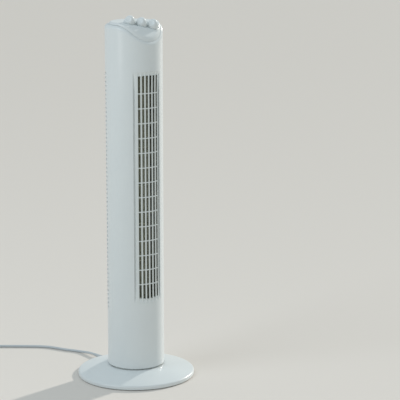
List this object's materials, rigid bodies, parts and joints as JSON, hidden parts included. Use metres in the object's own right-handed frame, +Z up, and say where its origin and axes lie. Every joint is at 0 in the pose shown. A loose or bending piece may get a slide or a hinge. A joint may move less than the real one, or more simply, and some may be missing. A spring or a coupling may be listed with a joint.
{
  "type": "tower fan",
  "caption": "Oscillating tower fan: slotted column on a round weighted base, crossflow impeller and motor inside, swept control panel with rotary knobs, mains lead.",
  "frame": {"origin": "centre of the underside of the rubber feet, under the column's axis", "axes": "+Z up along the column, -Y towards the front of the control panel, +X to the right for someone who stands in front of the fan and faces it"},
  "size_m": [0.4119, 0.5033, 0.7466],
  "materials": {
    "shell_abs": "satin moulded ABS",
    "grille_abs": "satin moulded ABS",
    "inner_plastic": "matt moulded plastic",
    "black_plastic": "matt moulded plastic",
    "ballast_steel": "painted steel plate",
    "steel": "zinc-plated steel",
    "core_steel": "varnished steel laminations",
    "brass": "turned or stamped brass",
    "copper": "enamelled copper wire, taped",
    "rubber": "matt rubber",
    "cord_pvc": "extruded PVC sheath"
  },
  "bodies": {
    "base": {"base_cover": "shell_abs", "base_plate": "inner_plastic", "ballast_ring": "ballast_steel", "rubber_feet": "rubber", "base_screws": "steel", "ball_cage": "brass", "bearing_balls": "steel", "swing_yoke": "inner_plastic", "pivot_post": "steel", "pivot_washer": "brass", "pivot_nut": "steel", "strain_relief": "cord_pvc", "mains_cord": "cord_pvc", "cord_coil": "cord_pvc", "cord_tie": "rubber", "cord_tail": "cord_pvc", "mains_plug": "cord_pvc"},
    "column": {"column_foot": "inner_plastic", "foot_screws": "steel", "swing_motor": "steel", "swing_motor_screws": "steel", "front_cover": "shell_abs", "rear_cover": "shell_abs", "cover_screws": "steel", "outlet_grille": "grille_abs", "scroll_wall": "inner_plastic", "vortex_tongue": "inner_plastic", "lower_baffle": "inner_plastic", "upper_baffle": "inner_plastic", "bearing_rubber": "rubber", "bearing_bush": "brass", "motor_core": "core_steel", "motor_windings": "copper", "motor_shields": "steel", "motor_bushes": "brass", "motor_screws": "steel", "terminal_block": "black_plastic", "control_panel": "shell_abs", "switch_bracket": "steel", "timer_mechanism": "inner_plastic", "swing_switch": "black_plastic", "speed_switch": "black_plastic"},
    "crank": {"crank_shaft": "steel", "crank_arm": "brass", "crank_roller": "steel"},
    "impeller": {"impeller": "black_plastic", "stub_shaft": "steel", "motor_shaft": "steel", "motor_rotor": "core_steel"},
    "timer": {"timer_spindle": "steel", "timer_knob": "shell_abs"},
    "swing": {"swing_spindle": "steel", "swing_knob": "shell_abs"},
    "speed": {"speed_spindle": "steel", "speed_knob": "shell_abs"}
  },
  "joints": [
    {"name": "oscillate", "type": "hinge", "parent": "base", "child": "column", "pos_m": [0, 0, 0.0265], "axis": [0, 0, 1], "range_deg": [-30, 30]},
    {"name": "crank_turn", "type": "hinge", "parent": "column", "child": "crank", "pos_m": [0, 0.024, 0.025], "axis": [0, 0, 1], "range_deg": [-90, 90]},
    {"name": "impeller_spin", "type": "hinge", "parent": "column", "child": "impeller", "pos_m": [0.004, 0.008, 0.4], "axis": [0, 0, 1], "continuous": true},
    {"name": "timer_turn", "type": "hinge", "parent": "column", "child": "timer", "pos_m": [-0.022, -0.015, 0.73128], "axis": [0, -0.4226, 0.9063], "range_deg": [-300, 0]},
    {"name": "swing_turn", "type": "hinge", "parent": "column", "child": "swing", "pos_m": [0, -0.024, 0.72708], "axis": [0, -0.4226, 0.9063], "range_deg": [-90, 0]},
    {"name": "speed_turn", "type": "hinge", "parent": "column", "child": "speed", "pos_m": [0.022, -0.033, 0.72288], "axis": [0, -0.4226, 0.9063], "range_deg": [-135, 0]}
  ],
  "couplings": [
    {"joint": "crank_turn", "follows": "oscillate", "ratio": -3}
  ]
}
